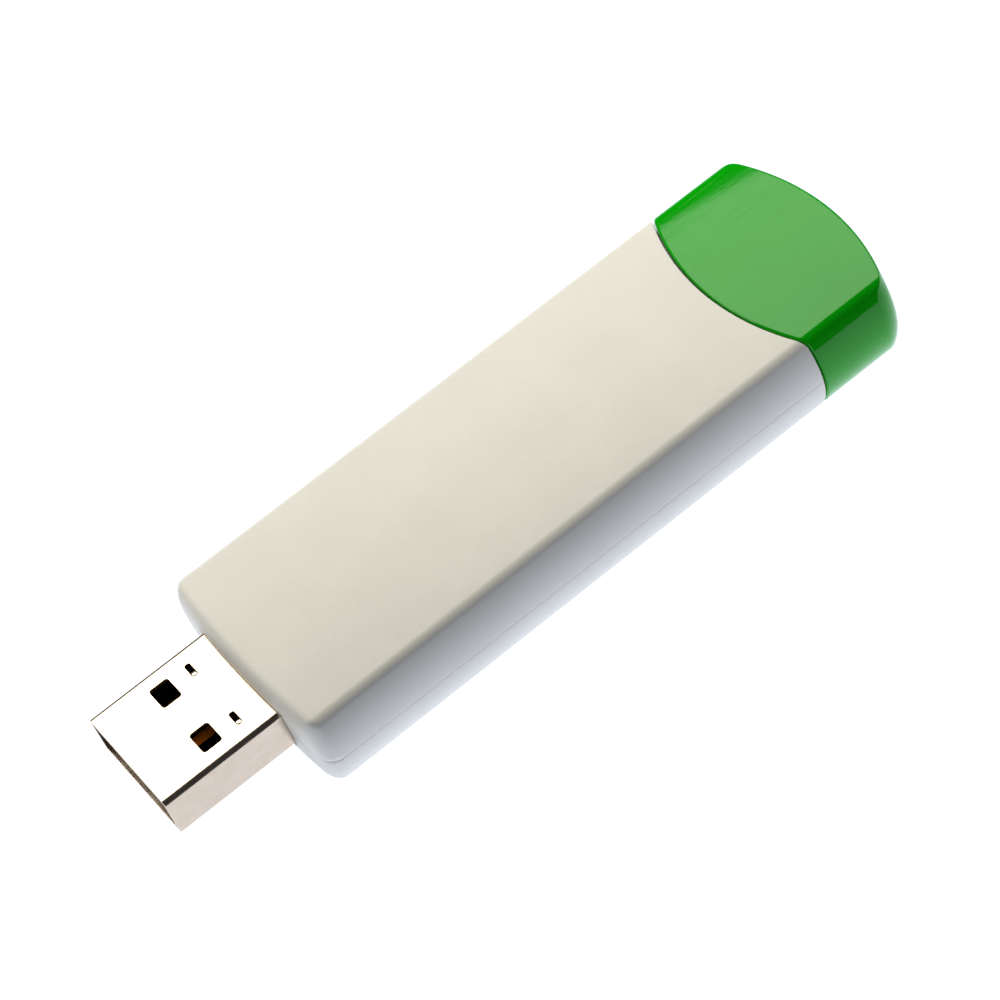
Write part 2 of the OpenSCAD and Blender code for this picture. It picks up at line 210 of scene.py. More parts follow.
@dataclass(frozen=True)
class MouldedPlastic(DriftingFinish):
    """Injection-moulded plastic with a spark-eroded grain: matt where deep, glossy where shallow."""

    ior: float = 1.53
    grain_size: float = 0.22
    grain_depth: float = 0.004
    mottle_size: float = 6.0
    scratch_depth: float = 0.0
    scratch_length: float = 9.0
    scratch_width: float = 0.12
    specular: float = 0.5

    def shade(self, tree: Tree) -> bpy.types.Node:
        """Adds flow marks to the colour, and grain and scratches to the gloss and the relief."""
        place = add_node(tree, "ShaderNodeTexCoord").outputs["Object"]
        mottle = add_node(
            tree,
            "ShaderNodeTexNoise",
            {"Vector": place, "Scale": per_mm(self.mottle_size), "Detail": 4.0, "Roughness": 0.6},
        )
        grain = add_node(
            tree,
            "ShaderNodeTexNoise",
            {"Vector": place, "Scale": per_mm(self.grain_size), "Detail": 2.0, "Roughness": 0.55},
        )
        colour, gloss = self.drift(tree, mottle.outputs["Fac"], grain.outputs["Fac"])
        relief = add_node(
            tree,
            "ShaderNodeBump",
            {"Height": grain.outputs["Fac"], "Distance": self.grain_depth * MM, "Strength": 1.0},
        )
        if self.scratch_depth:
            relief = self._scratched(tree, place, relief)
        return add_node(
            tree,
            "ShaderNodeBsdfPrincipled",
            {
                "Base Color": colour,
                "Roughness": gloss,
                "IOR": self.ior,
                "Specular IOR Level": self.specular,
                "Normal": relief.outputs[0],
            },
        )

    def _scratched(self, tree: Tree, place: Socket, relief: Any) -> Any:
        """Adds the hairline scratches that a cap picks up from being pulled off and put down.

        Args:
            tree: the material's node tree.
            place: the object coordinates.
            relief: the bump node that the scratches lie on.

        Returns:
            The last bump node.
        """
        fine = per_mm(self.scratch_width)
        for turn in (0.35, -0.8):
            turned = add_node(
                tree,
                "ShaderNodeMapping",
                {
                    "Vector": place,
                    "Rotation": (0.0, 0.0, turn),
                    "Scale": (per_mm(self.scratch_length), fine, fine),
                },
            )
            streak = add_node(
                tree, "ShaderNodeTexNoise", {"Vector": turned.outputs[0], "Scale": 1.0, "Detail": 1.0}
            )
            line = add_node(
                tree,
                "ShaderNodeMapRange",
                {"Value": streak.outputs["Fac"], "From Min": 0.66, "From Max": 0.72},
            )
            relief = add_node(
                tree,
                "ShaderNodeBump",
                {
                    "Height": line.outputs[0],
                    "Distance": self.scratch_depth * MM,
                    "Strength": 1.0,
                    "Normal": relief.outputs[0],
                },
                invert=True,
            )
        return relief


@dataclass(frozen=True)
class PlatedMetal(DriftingFinish):
    """Rolled sheet metal under a thin plating: streaks along the rolling direction, and small pits."""

    streak_length: float = 4.0
    streak_width: float = 0.06
    cloud_size: float = 2.5
    pit_size: float = 0.35
    pit_depth: float = 0.0008

    def shade(self, tree: Tree) -> bpy.types.Node:
        """Adds rolling streaks to the colour and gloss, and pits to the relief."""
        place = add_node(tree, "ShaderNodeTexCoord").outputs["Object"]
        across = per_mm(self.streak_width)
        along = per_mm(self.streak_length)
        stretched = add_node(
            tree, "ShaderNodeMapping", {"Vector": place, "Scale": (along, across, across)}
        )
        streak = add_node(
            tree, "ShaderNodeTexNoise", {"Vector": stretched.outputs[0], "Scale": 1.0, "Detail": 3.0}
        )
        cloud = add_node(
            tree,
            "ShaderNodeTexNoise",
            {"Vector": place, "Scale": per_mm(self.cloud_size), "Detail": 5.0, "Roughness": 0.6},
        )
        pits = add_node(tree, "ShaderNodeTexVoronoi", {"Vector": place, "Scale": per_mm(self.pit_size)})
        hollow = add_node(
            tree,
            "ShaderNodeMapRange",
            {"Value": pits.outputs["Distance"], "From Min": 0.04, "From Max": 0.16},
        )
        colour, gloss = self.drift(tree, streak.outputs["Fac"], cloud.outputs["Fac"])
        relief = add_node(
            tree,
            "ShaderNodeBump",
            {"Height": hollow.outputs[0], "Distance": self.pit_depth * MM, "Strength": 1.0},
        )
        return add_node(
            tree,
            "ShaderNodeBsdfPrincipled",
            {
                "Base Color": colour,
                "Metallic": 1.0,
                "Roughness": gloss,
                "Normal": relief.outputs[0],
            },
        )


@dataclass(frozen=True)
class Laminate(Finish):
    """Glass-fibre board under green solder mask: copper tracks show paler, and the weave lifts the mask."""

    colour: str = "#0d4a2c"
    track_colour: str = "#1f7a46"
    weave_size: float = 0.5
    track_spacing: float = 2.2

    def shade(self, tree: Tree) -> bpy.types.Node:
        """Adds square-cornered tracks to the colour and a weave to the relief."""
        place = add_node(tree, "ShaderNodeTexCoord").outputs["Object"]
        tracks, cells = (
            add_node(
                tree,
                "ShaderNodeTexVoronoi",
                {"Vector": place, "Scale": per_mm(self.track_spacing), "Randomness": 0.8},
                voronoi_dimensions="2D",
                feature=feature,
                distance="MANHATTAN",
            )
            for feature in ("F2", "F1")
        )
        apart = add_node(
            tree,
            "ShaderNodeMath",
            {0: tracks.outputs["Distance"], 1: cells.outputs["Distance"]},
            operation="SUBTRACT",
        )
        copper = add_node(
            tree,
            "ShaderNodeMapRange",
            {"Value": apart.outputs[0], "From Min": 0.10, "From Max": 0.16, "To Min": 1.0, "To Max": 0.0},
        )
        colour = add_node(
            tree,
            "ShaderNodeMix",
            {0: copper.outputs[0], 6: linear(self.colour), 7: linear(self.track_colour)},
            data_type="RGBA",
        )
        warp, weft = (
            add_node(
                tree,
                "ShaderNodeTexWave",
                {"Vector": place, "Scale": per_mm(self.weave_size) / 20, "Distortion": 0.4},
                bands_direction=direction,
            )
            for direction in ("X", "Y")
        )
        threads = {0: warp.outputs["Fac"], 1: weft.outputs["Fac"]}
        cloth = add_node(tree, "ShaderNodeMath", threads, operation="ADD")
        layers = {0: cloth.outputs[0], 1: copper.outputs[0]}
        height = add_node(tree, "ShaderNodeMath", layers, operation="ADD")
        relief = add_node(
            tree, "ShaderNodeBump", {"Height": height.outputs[0], "Distance": 0.01 * MM, "Strength": 1.0}
        )
        return add_node(
            tree,
            "ShaderNodeBsdfPrincipled",
            {"Base Color": colour.outputs[2], "Roughness": 0.32, "IOR": 1.5, "Normal": relief.outputs[0]},
        )


@dataclass(frozen=True)
class ClearLens(Finish):
    """Tinted epoxy of a chip light: lets light through and scatters a little at its cut sides."""

    colour: str = "#8fd694"

    def shade(self, tree: Tree) -> bpy.types.Node:
        """Adds a cloudy transmission to the shader."""
        place = add_node(tree, "ShaderNodeTexCoord").outputs["Object"]
        haze = add_node(tree, "ShaderNodeTexNoise", {"Vector": place, "Scale": per_mm(0.3), "Detail": 3.0})
        gloss = add_node(
            tree, "ShaderNodeMapRange", {"Value": haze.outputs["Fac"], "To Min": 0.1, "To Max": 0.5}
        )
        return add_node(
            tree,
            "ShaderNodeBsdfPrincipled",
            {
                "Base Color": linear(self.colour),
                "Roughness": gloss.outputs[0],
                "IOR": 1.52,
                "Transmission Weight": 0.7,
            },
        )


# ABS with a fine matt grain: an even, slightly warm white that hardly mirrors anything
WHITE_ABS = MouldedPlastic(
    "white_moulded_abs",
    "white_abs",
    colour="#e7e5e0",
    second_colour="#e3e1dc",
    roughness=0.46,
    roughness_spread=0.05,
    grain_size=0.18,
    grain_depth=0.009,
    mottle_size=7.0,
)
# The same plastic from a polished mould: the light overhead lies on it as a milky sheen
GREEN_ABS = MouldedPlastic(
    "green_glossy_abs",
    "green_abs",
    colour="#03a502",
    second_colour="#029f02",
    ior=1.37,
    roughness=0.05,
    roughness_spread=0.01,
    grain_size=0.3,
    grain_depth=0.0016,
    mottle_size=5.0,
    scratch_depth=0.0012,
)
# Nickel over rolled steel: near white in the light, with a faint warm grey
NICKEL = PlatedMetal(
    "nickel_plated_steel", "nickel_steel", colour="#cfc0b0", second_colour="#c2b2a1", roughness=0.2
)
# Glass-filled liquid-crystal polymer: black, satin, with short pale fibres near the surface
BLACK_LCP = MouldedPlastic(
    "black_glass_filled_lcp",
    "black_lcp",
    colour="#040303",
    second_colour="#070605",
    specular=0.08,
    roughness=0.6,
    grain_size=0.12,
    grain_depth=0.004,
    mottle_size=1.2,
)
GOLD = PlatedMetal(
    "gold_flash_on_brass",
    "gold_plate",
    colour="#eab551",
    second_colour="#d39a3c",
    roughness=0.36,
    streak_length=1.5,
    streak_width=0.04,
)
BOARD = Laminate("solder_masked_laminate", "green_laminate")
BLACK_EPOXY = MouldedPlastic(
    "black_moulding_epoxy",
    "black_epoxy",
    colour="#17181a",
    second_colour="#222326",
    roughness=0.55,
    grain_size=0.08,
    grain_depth=0.003,
    mottle_size=0.8,
)
TINNED = PlatedMetal(
    "matt_tin_on_copper", "tinned_leads", colour="#c6c8c9", second_colour="#aeb0b1", roughness=0.38
)
CRYSTAL_LID = PlatedMetal(
    "plated_kovar_lid", "crystal_lid", colour="#d4d3cd", second_colour="#bdbcb6", roughness=0.3
)
ALUMINA = MouldedPlastic(
    "dark_alumina",
    "alumina",
    colour="#5d554b",
    second_colour="#6f665a",
    roughness=0.6,
    grain_size=0.05,
)
FUSE_BODY = MouldedPlastic(
    "green_fuse_body",
    "fuse_green",
    colour="#2c6a3b",
    second_colour="#245a32",
    roughness=0.5,
    grain_size=0.1,
)
FERRITE = MouldedPlastic(
    "sintered_ferrite", "ferrite", colour="#454447", second_colour="#38373a", roughness=0.65
)
TANTALUM = MouldedPlastic(
    "yellow_tantalum_case",
    "tantalum_case",
    colour="#c9871f",
    second_colour="#bb7a18",
    roughness=0.5,
    grain_size=0.1,
)
CERAMIC_CHIP = MouldedPlastic(
    "fired_titanate_chip",
    "ceramic_chip",
    colour="#a98a62",
    second_colour="#9c7d57",
    roughness=0.5,
    grain_size=0.06,
)
RESISTOR_CHIP = MouldedPlastic(
    "glazed_resistor_chip",
    "resistor_chip",
    colour="#1d1f24",
    second_colour="#26282c",
    roughness=0.3,
    grain_size=0.08,
)
GREEN_LENS = ClearLens("green_chip_lens", "green_lens", colour="#7fd487")
AMBER_LENS = ClearLens("amber_chip_lens", "amber_lens", colour="#e8a24a")


# ---- Mesh helpers ----


def steps(first: float, last: float, count: int) -> list[float]:
    """Evenly spaced values from first to last, both included, in count steps."""
    return [first + (last - first) * i / count for i in range(count + 1)]


def draw_skin(rings: Sequence[Ring], wrapped: bool) -> Skin:
    """Draws a surface through rings that all have the same number of points.

    Args:
        rings: the rings in order along the surface. A last ring equal to the first closes it.
        wrapped: whether each ring's last point joins its first.

    Returns:
        The mesh, with an integer vertex layer "ring" that holds each vertex's place in rings.
    """
    skin = bmesh.new()
    columns = len(rings[0]) + (1 if wrapped else 0)
    bmesh.ops.create_grid(skin, x_segments=columns - 1, y_segments=len(rings) - 1, size=1)
    layer = skin.verts.layers.int.new("ring")
    skin.verts.ensure_lookup_table()
    for row, ring in enumerate(rings):
        for column in range(columns):
            vert = skin.verts[row * columns + column]
            vert.co = ring[column % len(ring)]
            vert[layer] = row
    bmesh.ops.remove_doubles(skin, verts=skin.verts, dist=WELD)
    bmesh.ops.dissolve_degenerate(skin, edges=skin.edges, dist=WELD)
    return skin


def close_holes(skin: Skin) -> None:
    """Fills every open boundary with one face and turns all faces outwards."""
    rim = [edge for edge in skin.edges if edge.is_boundary]
    if rim:
        bmesh.ops.holes_fill(skin, edges=rim, sides=0)
    bmesh.ops.recalc_face_normals(skin, faces=skin.faces)


def round_edges(skin: Skin, edges: Iterable[bmesh.types.BMEdge], radius: float, segments: int) -> None:
    """Rounds some edges of a mesh."""
    chosen = list(edges)
    bmesh.ops.bevel(
        skin,
        geom=chosen,
        offset=radius,
        offset_type="OFFSET",
        segments=segments,
        profile=0.5,
        affect="EDGES",
        material=-1,
        clamp_overlap=True,
    )


def keep_below(skin: Skin, height: float) -> None:
    """Brings points that rounding has pushed past a height, up or down, back to it."""
    for vert in skin.verts:
        vert.co.z = max(-height, min(height, vert.co.z))


def crisp(edge: bmesh.types.BMEdge, angle: float = 0.6) -> bool:
    """Whether the faces at an edge meet at more than an angle, in radians."""
    return len(edge.link_faces) == 2 and edge.calc_face_angle(0.0) > angle


def add_block(skin: Skin, low: Vector, high: Vector) -> list[bmesh.types.BMVert]:
    """Adds a box between two corners and returns its vertices."""
    place = Matrix.Translation((low + high) / 2) @ Matrix.Diagonal((*(high - low), 1.0))
    return bmesh.ops.create_cube(skin, size=1.0, matrix=place)["verts"]


def edges_of(verts: Iterable[bmesh.types.BMVert]) -> list[bmesh.types.BMEdge]:
    """The edges whose two ends are both among some vertices."""
    members = set(verts)
    found = {edge for vert in members for edge in vert.link_edges if edge.other_vert(vert) in members}
    return sorted(found, key=lambda edge: edge.index)


@dataclass(frozen=True)
class Workshop:
    """Turns finished meshes to pieces of the model.

    Args:
        front: X of the case's front face in the frame, in metres.
        parting: Z of the parting plane in the frame, in metres.
    """

    front: float
    parting: float

    def object_of(self, name: str, skin: Skin) -> Piece:
        """Makes an object of a mesh that is still in the case's millimetres, and frees the mesh."""
        mesh = bpy.data.meshes.new(name)
        skin.to_mesh(mesh)
        skin.free()
        piece = bpy.data.objects.new(name, mesh)
        bpy.context.scene.collection.objects.link(piece)
        return piece

    def carve(self, piece: Piece, cutter: Skin) -> None:
        """Cuts a mesh out of a piece that is still in the case's millimetres.

        Args:
            piece: the piece to cut.
            cutter: closed volumes that don't touch each other. It is freed.
        """
        tool = self.object_of(piece.name + "_cutter", cutter)
        cut = piece.modifiers.new("cut", "BOOLEAN")
        cut.operation = "DIFFERENCE"
        cut.solver = "EXACT"
        cut.use_self = True
        cut.object = tool
        whole = piece.evaluated_get(bpy.context.evaluated_depsgraph_get())
        carved = bpy.data.meshes.new_from_object(whole)
        piece.modifiers.remove(cut)
        old = piece.data
        piece.data = carved
        bpy.data.meshes.remove(old)
        carved.name = piece.name
        tool_mesh = tool.data
        bpy.data.objects.remove(tool)
        bpy.data.meshes.remove(tool_mesh)

    def finish(
        self,
        piece: Piece,
        finish: Finish,
        body: Body,
        nodes: Sequence[str],
        edge: float = 0.0,
        sharp: float = 50.0,
    ) -> Piece:
        """Puts a piece in its place in the frame and dresses it.

        Args:
            piece: the piece, still in the case's millimetres.
            finish: its material.
            body: the body that it moves with.
            nodes: the CAD nodes that it stands for.
            edge: width of the softened edges, in millimetres, or 0 for none.
            sharp: angle in degrees above which an edge is softened, or shaded sharp.

        Returns:
            The same piece.
        """
        place = Matrix.Translation((self.front, 0, self.parting)) @ Matrix.Scale(MM, 4)
        piece.data.transform(place)
        piece.data.shade_smooth()
        if edge:
            soften = piece.modifiers.new("edges", "BEVEL")
            soften.width = edge * MM
            soften.segments = 2
            soften.limit_method = "ANGLE"
            soften.angle_limit = math.radians(sharp)
            soften.use_clamp_overlap = True
        else:
            piece.data.set_sharp_from_angle(angle=math.radians(sharp))
        normals = piece.modifiers.new("normals", "WEIGHTED_NORMAL")
        normals.keep_sharp = True
        finish.dress(piece)
        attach(piece, body.value)
        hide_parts(*nodes)
        LOG.info("%s: %d faces, %s", piece.name, len(piece.data.polygons), finish.name)
        return piece


# ---- The closed case's form ----


@dataclass(frozen=True)
class CaseForm:
    """The closed case's outer form, which both shells and the cap share.

    Its long sides are arcs, its top and bottom are flat, and small fillets join them.
    """

    length: float
    half_width: float
    half_height: float
    flat_half: float = 9.6
    edge_radius: float = 1.2
    least_radius: float = 0.3
    front_radius: float = 110.0
    front_corner: float = 1.6
    bevel_length: float = 1.05
    bevel_height: float = 1.5
    rear_radius: float = 24.2
    rear_corner: float = 2.4
    rear_lean: float = 0.45
    rear_edge: float = 0.28
    seam_side: float = 52.9
    seam_bow: float = 2.4
    seam_half: float = 10.65
    belly_steps: int = 10
    fillet_steps: int = 10
    flat_steps: int = 16

    @property
    def belly_radius(self) -> float:
        """Radius of the side arcs, which meet the fillets without a corner."""
        out = self.flat_half - self.half_width
        rise = self.half_height - self.edge_radius
        return (self.edge_radius**2 - out**2 - rise**2) / (2 * (out + self.edge_radius))

    @property
    def corner_step(self) -> int:
        """The step of a half arch that turns the corner where it is mapped to a rectangle."""
        return self.belly_steps + self.fillet_steps // 2

    @property
    def half_steps(self) -> int:
        """Steps of a half arch."""
        return self.belly_steps + self.fillet_steps + self.flat_steps

    def front(self, y: float) -> float:
        """X of the faintly convex front face."""
        return self.front_radius - math.sqrt(self.front_radius**2 - y**2)

    def rear(self, y: float, z: float) -> float:
        """X of the domed rear end, which leans in above and below the parting plane."""
        reach = self.rear_radius - self.rear_lean * (z / self.half_height) ** 2
        return self.length - self.rear_radius + math.sqrt(reach**2 - y**2)

    def seam(self, y: float) -> float:
        """X of the seam: an arc across the top, straight down the sides."""
        radius = (self.seam_half**2 + self.seam_bow**2) / (2 * self.seam_bow)
        across = min(abs(y), self.seam_half)
        return self.seam_side - self.seam_bow + radius - math.sqrt(radius**2 - across**2)

    def half_arch(self, inset: float = 0.0) -> HalfArch:
        """Half of the cross-section above the parting plane.

        Args:
            inset: how far it is pulled in from the outside.

        Returns:
            Y, Z and how far the surface faces sideways, from 1 at the side to 0 on top, for each point.
        """
        radius = max(self.edge_radius - inset, self.least_radius)
        belly = self.belly_radius - inset
        belly_y = self.half_width - self.belly_radius
        top = self.half_height - inset
        fillet_y = belly_y + math.sqrt((belly - radius) ** 2 - (top - radius) ** 2)
        turn = math.atan2(top - radius, fillet_y - belly_y)
        points = [
            (belly_y + belly * math.cos(a), belly * math.sin(a), math.cos(a) ** 2)
            for a in steps(0, turn, self.belly_steps)
        ]
        points += [
            (fillet_y + radius * math.cos(a), top - radius + radius * math.sin(a), math.cos(a) ** 2)
            for a in steps(turn, math.pi / 2, self.fillet_steps)[1:]
        ]
        points += [(y, top, 0.0) for y in steps(fillet_y, 0, self.flat_steps)[1:]]
        return points

    def half_window(self, half_width: float, half_height: float) -> HalfArch:
        """Half of a rectangular opening above the parting plane, with as many points as a half arch."""
        side = [(half_width, z, 1.0) for z in steps(0, half_height, self.corner_step)]
        top = [(y, half_height, 0.0) for y in steps(half_width, 0, self.half_steps - self.corner_step)[1:]]
        return side + top

    def arch(self, half: HalfArch, x_at: Callable[[float, float, float], float]) -> Ring:
        """An arch from the parting plane at +Y over the top to the parting plane at -Y.

        Args:
            half: the arch's +Y half.
            x_at: gives X from Y, Z and how far the surface faces sideways.

        Returns:
            The arch's points.
        """
        whole = list(half) + [(-y, z, side) for y, z, side in reversed(half[:-1])]
        return [Vector((x_at(y, z, side), y, z)) for y, z, side in whole]

    def loop(self, half: HalfArch, x_at: Callable[[float, float, float], float]) -> Ring:
        """A closed loop round the whole cross-section: an arch and its mirror image below."""
        upper = self.arch(half, x_at)
        return upper + [Vector((p.x, p.y, -p.z)) for p in reversed(upper[1:-1])]

    def scaled(self, half: HalfArch, width: float, height: float) -> HalfArch:
        """A half arch with its widest and highest points moved in by width and height."""
        wide = 1 - width / max(y for y, _, _ in half)
        high = 1 - height / max(z for _, z, _ in half)
        return [(y * wide, z * high, side) for y, z, side in half]


def mixed(start: HalfArch, end: HalfArch, share: float) -> HalfArch:
    """Half arches blended: start at a share of 0, end at 1."""
    return [tuple(a + (b - a) * share for a, b in zip(p, q)) for p, q in zip(start, end)]


# ---- Sub-assemblies ----


@dataclass
class CaseShells:
    """The white case: two hollow shells that meet at the parting plane, and a neck under the cap."""

    form: CaseForm
    workshop: Workshop
    neck_end: float
    wall: float = 1.2
    neck_inset: float = 1.2
    neck_wall: float = 0.85
    mouth_wall: float = 1.0
    plug_opening: tuple[float, float] = (6.1, 2.35)
    header_mouth: tuple[float, float] = (7.72, 1.37)
    parting_edge: float = 0.025
    seam_edge: float = 0.08
    neck_edge: float = 0.3
    opening_edge: float = 0.1
    nose_steps: int = 9
    face_shares: tuple[float, ...] = (0.3, 0.65)
    side_shares: tuple[float, ...] = (0.25, 0.5, 0.75)
    inner_edge: float = 0.5
    inner_edge_sideways: float = 0.3
    post_x: tuple[float, float] = (11.5, 48.0)
    post_y: float = 6.9
    post_radius: float = 1.3
    post_taper: float = 0.1
    post_clear: float = 0.02
    grip_x: float = 1.6
    grip_y: float = 5.2
    grip_reach: tuple[float, float] = (0.4, 2.5)
    grip_height: float = 0.12
    grip_root: float = 0.2
    grip_edge: float = 0.9

    def build(self) -> list[Piece]:
        """Builds both shells.

        Returns:
            The upper and the lower shell.
        """
        shells = []
        for node, side in (("top_shell", 1), ("bottom_shell", -1)):
            skin = self._half()
            self._add_posts(skin)
            self._add_grips(skin)
            keep_below(skin, self.form.half_height)
            if side < 0:
                bmesh.ops.scale(skin, vec=(1, 1, -1), verts=skin.verts)
                bmesh.ops.reverse_faces(skin, faces=skin.faces)
            piece = self.workshop.object_of(node + "_moulding", skin)
            shells.append(self.workshop.finish(piece, WHITE_ABS, Body.CASE, [node]))
        return shells

    def _half(self) -> Skin:
        """Draws the hollow upper shell, from the plug's opening over the outside and back inside."""
        form = self.form
        outside = form.half_arch()
        neck = form.half_arch(self.neck_inset)
        inside = form.half_arch(self.wall)
        neck_inside = form.half_arch(self.neck_inset + self.neck_wall)
        opening = form.half_window(*self.plug_opening)
        mouth = form.half_window(*self.header_mouth)
        drawn_in = form.scaled(inside, self.inner_edge, self.inner_edge)
        rings = [
            form.arch(opening, lambda y, z, side: self.wall),
            form.arch(opening, lambda y, z, side: form.front(y)),
        ]
        rings += self._front(opening, outside)
        seam = len(rings)
        rings += [
            form.arch(outside, lambda y, z, side: form.seam(y)),
            form.arch(neck, lambda y, z, side: form.seam(y)),
            form.arch(neck, lambda y, z, side: self.neck_end),
            form.arch(mouth, lambda y, z, side: self.neck_end),
            form.arch(mouth, lambda y, z, side: self.neck_end - self.mouth_wall),
            form.arch(neck_inside, lambda y, z, side: self.neck_end - self.mouth_wall),
            form.arch(neck_inside, lambda y, z, side: form.seam(y) - self.wall),
            form.arch(inside, lambda y, z, side: form.seam(y) - self.wall),
            form.arch(inside, lambda y, z, side: form.front(y) + self.wall + self._inner_edge(side)),
            form.arch(drawn_in, lambda y, z, side: form.front(y) + self.wall),
            form.arch(opening, lambda y, z, side: self.wall),
        ]
        skin = draw_skin(rings, wrapped=False)
        close_holes(skin)
        self._soften(skin, seam)
        return skin

    def _inner_edge(self, side: float) -> float:
        """Depth of the rounding inside the front wall, where the surface faces sideways by side."""
        return self.inner_edge + self.inner_edge_sideways * side

    def _front(self, opening: HalfArch, outside: HalfArch) -> list[Ring]:
        """Rings of the front face, its soft bevel and rounded corners, and the straight run to the seam."""
        form = self.form
        corner_depth, corner_width = self._corner()
        rings = []
        rim = form.scaled(outside, corner_width, form.bevel_height)
        for share in self.face_shares:
            rings.append(form.arch(mixed(opening, rim, share), lambda y, z, side: form.front(y)))
        for turn in steps(math.pi / 2, 0, self.nose_steps):
            drawn_in = 1 - math.cos(turn)
            back = 1 - math.sin(turn)
            half = form.scaled(outside, corner_width * drawn_in, form.bevel_height * drawn_in)
            rings.append(
                form.arch(
                    half,
                    lambda y, z, side, back=back: form.front(y)
                    + back * (form.bevel_length + (corner_depth - form.bevel_length) * side),
                )
            )
        for share in self.side_shares:
            rings.append(
                form.arch(
                    outside,
                    lambda y, z, side, share=share: corner_depth + (form.seam(y) - corner_depth) * share,
                )
            )
        return rings

    def _corner(self) -> tuple[float, float]:
        """Depth along X and width along Y of the rounded front corners in plan."""
        form = self.form
        inner = form.half_width - form.front_corner
        reach = math.sqrt((form.front_radius - form.front_corner) ** 2 - inner**2)
        depth = form.front_radius - reach - form.front(form.half_width)
        width = form.half_width - form.front_radius * math.sin(math.atan2(inner, reach))
        return depth, width

    def _soften(self, skin: Skin, seam: int) -> None:
        """Rounds the edges at the seam, the parting plane, the openings and the neck's end.

        Args:
            skin: the shell's mesh.
            seam: the ring at the seam. The neck's end is the second after it, and its mouth the third.
        """
        layer = skin.verts.layers.int["ring"]

        def on(edge: bmesh.types.BMEdge, ring: int) -> bool:
            """Whether an edge runs along a ring."""
            return all(vert[layer] == ring for vert in edge.verts)

        def at_parting(edge: bmesh.types.BMEdge) -> bool:
            """Whether an edge is an outer one on the parting plane."""
            flat = all(abs(vert.co.z) < 1e-4 for vert in edge.verts)
            return flat and crisp(edge) and all(0 < vert[layer] <= seam for vert in edge.verts)

        jobs = [
            ([e for e in skin.edges if on(e, ring) and crisp(e)], radius, segments)
            for ring, radius, segments in (
                (seam, self.seam_edge, 3),
                (seam + 2, self.neck_edge, 3),
                (1, self.opening_edge, 2),
                (seam + 3, self.opening_edge, 2),
            )
        ]
        for edges, radius, segments in jobs:
            live = [edge for edge in edges if edge.is_valid]
            round_edges(skin, live, radius, segments)
        round_edges(skin, [edge for edge in skin.edges if at_parting(edge)], self.parting_edge, 1)

    def _add_posts(self, skin: Skin) -> None:
        """Adds the posts that hold the board, from the ceiling down to the parting plane."""
        ceiling = self.form.half_height - self.wall / 2
        for x in self.post_x:
            for y in (-self.post_y, self.post_y):
                place = Matrix.Translation((x, y, ceiling / 2 + self.post_clear))
                bmesh.ops.create_cone(
                    skin,
                    cap_ends=True,
                    segments=32,
                    radius1=self.post_radius,
                    radius2=self.post_radius + self.post_taper,
                    depth=ceiling - 2 * self.post_clear,
                    matrix=place,
                )

    def _add_grips(self, skin: Skin) -> None:
        """Adds the low ribs on the neck that hold the cap."""
        top = self.form.half_height - self.neck_inset
        for side in (-1, 1):
            along, across = self.grip_reach
            x, y = self.neck_end - self.grip_x, side * self.grip_y
            low = Vector((x - along, y - across, top - self.grip_root))
            high = Vector((x + along, y + across, top + self.grip_height))
            verts = add_block(skin, low, high)
            upper = [e for e in edges_of(verts) if all(v.co.z > top for v in e.verts)]
            round_edges(skin, upper, self.grip_height * self.grip_edge, 3)


